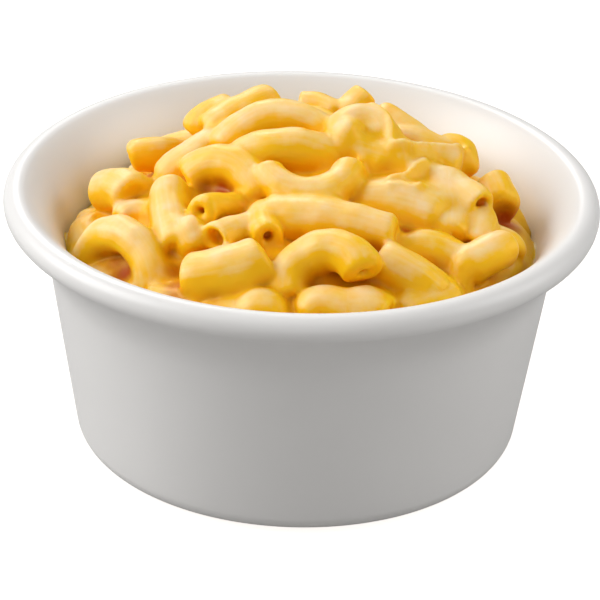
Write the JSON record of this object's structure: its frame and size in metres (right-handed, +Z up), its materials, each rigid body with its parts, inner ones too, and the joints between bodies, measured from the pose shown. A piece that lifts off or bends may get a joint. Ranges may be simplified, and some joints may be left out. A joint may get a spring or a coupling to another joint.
{
  "type": "mac and cheese",
  "caption": "White glazed bowl with a flared, rounded lip, heaped with elbow macaroni in cheese sauce.",
  "frame": {"origin": "on the bowl's axis, at the level of the foot it stands on", "axes": "+Z up along the bowl's axis; -Y towards the side of the heap that the picture shows; +X to the right"},
  "size_m": [0.1248, 0.1248, 0.0728],
  "materials": {
    "glaze": "gloss",
    "pasta": "satin"
  },
  "bodies": {
    "root": {"bowl": "glaze", "macaroni": "pasta"}
  },
  "joints": []
}
